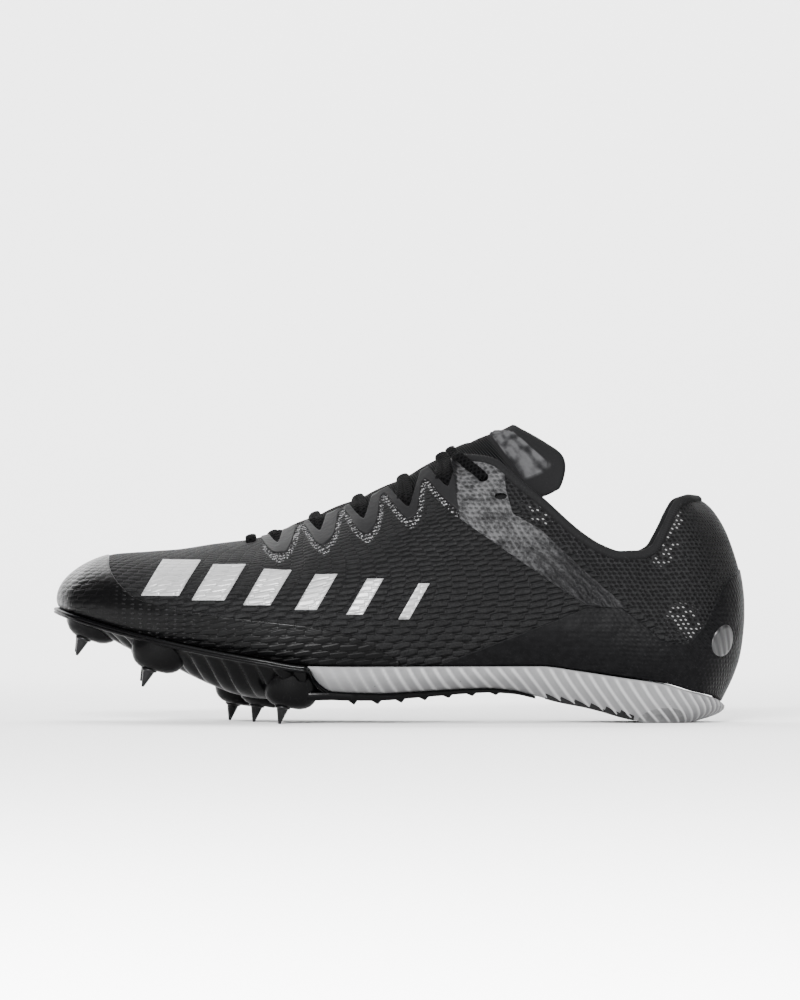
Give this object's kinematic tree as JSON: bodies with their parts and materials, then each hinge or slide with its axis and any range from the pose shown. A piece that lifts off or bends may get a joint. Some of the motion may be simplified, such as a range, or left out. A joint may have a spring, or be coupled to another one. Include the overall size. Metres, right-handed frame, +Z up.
{
  "type": "track spike shoe",
  "caption": "Left track spike shoe with woven upper, V-notched eyestay, foam heel wedge and a hard forefoot plate with screw-in spikes.",
  "frame": {"origin": "middle of the footprint on the floor that the rear spikes and the heel pad stand on", "axes": "+Z up, toe towards -X, heel towards +X, outer side of the left foot towards -Y"},
  "size_m": [0.284, 0.1007, 0.1228],
  "materials": {
    "woven_upper": "black woven fabric and mesh",
    "ribbed_tongue": "ribbed padded fabric",
    "sock_liner": "brushed sock liner",
    "foam": "light grey moulded foam with dark specks",
    "hard_plate": "glossy black moulded plate",
    "black_rubber": "matt black rubber",
    "heel_rubber": "grey ribbed rubber",
    "gloss_film": "glossy black film",
    "counter_film": "dark grey satin film",
    "reflector": "grey reflector",
    "saddle_film": "grey translucent film",
    "eyestay_film": "dark grey film",
    "binding": "rolled knit binding",
    "spike_steel": "dark steel",
    "lace": "black braided lace",
    "silver_print": "silver satin film"
  },
  "bodies": {
    "root": {"upper": "woven_upper", "tongue": "ribbed_tongue", "insole": "sock_liner", "midsole": "foam", "spike_plate": "hard_plate", "heel_insert": "black_rubber", "heel_pad": "heel_rubber", "spike_front_outer": "spike_steel", "spike_front_inner": "spike_steel", "spike_middle_outer": "spike_steel", "spike_middle_inner": "spike_steel", "spike_rear_inner": "spike_steel", "spike_rear_centre": "spike_steel", "spike_rear_outer": "spike_steel", "toe_film": "gloss_film", "counter_film": "counter_film", "heel_dot": "reflector", "saddle_film_outer": "saddle_film", "saddle_film_inner": "saddle_film", "eyestay_outer": "eyestay_film", "eyestay_inner": "eyestay_film", "collar_binding": "binding", "lace_1": "lace", "lace_2": "lace", "lace_3": "lace", "lace_4": "lace", "lace_5": "lace", "lace_6": "lace", "silver_bar_outer_1": "silver_print", "silver_bar_outer_2": "silver_print", "silver_bar_outer_3": "silver_print", "silver_bar_outer_4": "silver_print", "silver_bar_outer_5": "silver_print", "silver_bar_outer_6": "silver_print", "silver_bar_inner_1": "silver_print", "silver_bar_inner_2": "silver_print", "silver_bar_inner_3": "silver_print", "silver_bar_inner_4": "silver_print", "silver_bar_inner_5": "silver_print", "silver_bar_inner_6": "silver_print"}
  },
  "joints": []
}
